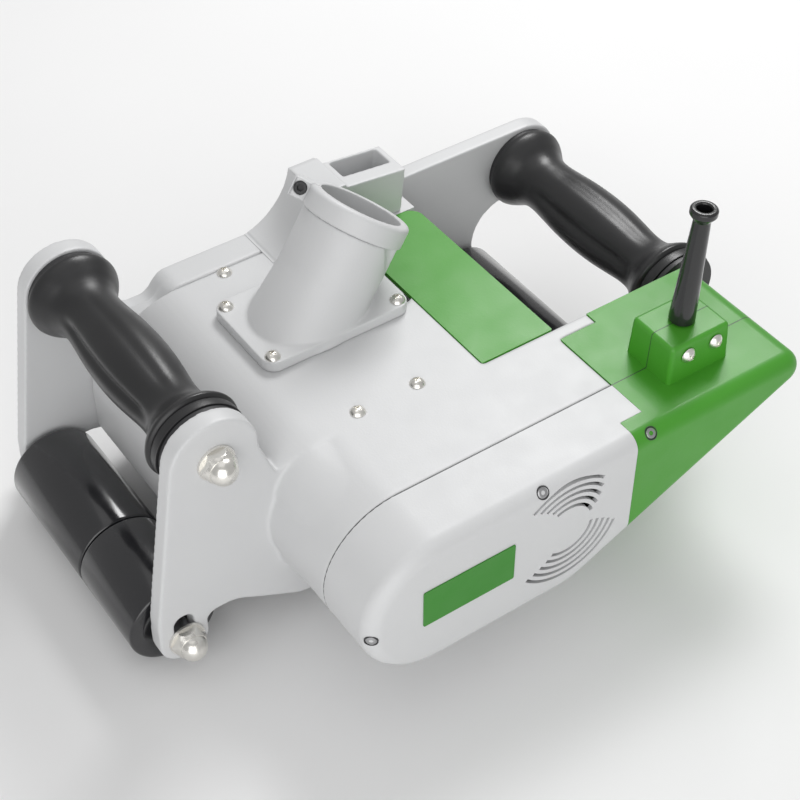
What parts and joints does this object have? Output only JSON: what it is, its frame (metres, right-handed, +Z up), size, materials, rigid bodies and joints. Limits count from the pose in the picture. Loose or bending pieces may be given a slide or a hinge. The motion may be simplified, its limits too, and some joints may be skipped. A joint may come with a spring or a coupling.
{
  "type": "wall chaser",
  "caption": "Hand-held wall chaser: a cast guard over a pack of cutting blades, side motor, two bar handles, guide rollers and a leaning dust outlet.",
  "frame": {"origin": "middle of the machine's footprint, on the surface its rollers stand on", "axes": "+X to the rear handle, +Y to the side away from the motor, +Z up"},
  "size_m": [0.4108, 0.2895, 0.2312],
  "materials": {
    "casting": "satin",
    "green_cover": "satin",
    "label": "gloss",
    "grip_rubber": "satin",
    "black_plastic": "matte",
    "roller": "gloss",
    "sleeve": "gloss",
    "bright_steel": "polished",
    "steel": "satin",
    "blade_steel": "satin",
    "belt_rubber": "matte",
    "copper": "satin",
    "carbon": "matte",
    "switch_red": "gloss"
  },
  "bodies": {
    "chassis": {"main_casting": "casting", "far_side_frame": "casting", "rear_panel": "green_cover", "panel_filler": "casting", "spanner_pocket": "casting", "dust_duct": "casting", "duct_collar": "casting", "collar_screw": "bright_steel", "motor_housing_outer": "casting", "rear_cover_outer": "green_cover", "rear_cover_inner": "green_cover", "label_plate": "label", "front_grip": "grip_rubber", "rear_grip": "grip_rubber", "front_grip_rod": "steel", "rear_grip_rod": "steel", "front_grip_collars": "black_plastic", "rear_grip_collars": "black_plastic", "front_grip_nuts": "bright_steel", "rear_grip_nut": "bright_steel", "rear_roller_axle": "steel", "rear_axle_nuts": "bright_steel", "spindle_bearings": "steel", "bearing_cap": "casting", "bearing_cap_screws": "bright_steel", "drive_belt": "belt_rubber", "stator": "steel", "brush_holders": "black_plastic", "carbon_brushes": "carbon", "motor_bearings": "steel", "switch_body": "black_plastic", "cable_sleeve": "sleeve", "cord_clamp": "black_plastic", "top_screws": "bright_steel", "duct_screws": "bright_steel", "boss_screws": "bright_steel"},
    "depth_carriage": {"front_roller_axle": "steel", "front_axle_nuts": "bright_steel"},
    "front_roller_a": {"front_roller_short": "roller", "front_roller_short_bushes": "black_plastic"},
    "front_roller_b": {"front_roller_long": "roller", "front_roller_long_bushes": "black_plastic"},
    "rear_roller_body": {"rear_roller": "roller", "rear_roller_bushes": "black_plastic"},
    "blade_spindle": {"spindle": "steel", "blades": "blade_steel", "blade_spacers": "steel", "blade_flanges": "steel", "spindle_nut": "steel", "spindle_pulley": "steel"},
    "motor_rotor": {"motor_shaft": "steel", "armature": "steel", "commutator": "copper", "cooling_fan": "black_plastic", "motor_pulley": "steel"},
    "rocker": {"switch_rocker": "switch_red"}
  },
  "joints": [
    {"name": "depth_slide", "type": "slide", "parent": "chassis", "child": "depth_carriage", "axis": [0, 0, 1], "range_m": [0, 0.012]},
    {"name": "front_roller_a_spin", "type": "hinge", "parent": "depth_carriage", "child": "front_roller_a", "pos_m": [-0.1779, -0.005, 0.0275], "axis": [0, 1, 0], "continuous": true},
    {"name": "front_roller_b_spin", "type": "hinge", "parent": "depth_carriage", "child": "front_roller_b", "pos_m": [-0.1779, 0.071, 0.0275], "axis": [0, 1, 0], "continuous": true},
    {"name": "rear_roller_spin", "type": "hinge", "parent": "chassis", "child": "rear_roller_body", "pos_m": [0.1259, 0.041, 0.0275], "axis": [0, 1, 0], "continuous": true},
    {"name": "blade_spin", "type": "hinge", "parent": "chassis", "child": "blade_spindle", "pos_m": [-0.0721, 0.043, 0.0628], "axis": [0, 1, 0], "continuous": true},
    {"name": "motor_spin", "type": "hinge", "parent": "chassis", "child": "motor_rotor", "pos_m": [0.0097, -0.09, 0.0853], "axis": [0, 1, 0], "continuous": true},
    {"name": "rocker_tilt", "type": "hinge", "parent": "chassis", "child": "rocker", "pos_m": [0.1329, -0.052, 0.1191], "axis": [0, 0, 1], "range_deg": [0, 14]}
  ],
  "couplings": [
    {"joint": "motor_spin", "follows": "blade_spin", "ratio": 1.3333}
  ]
}
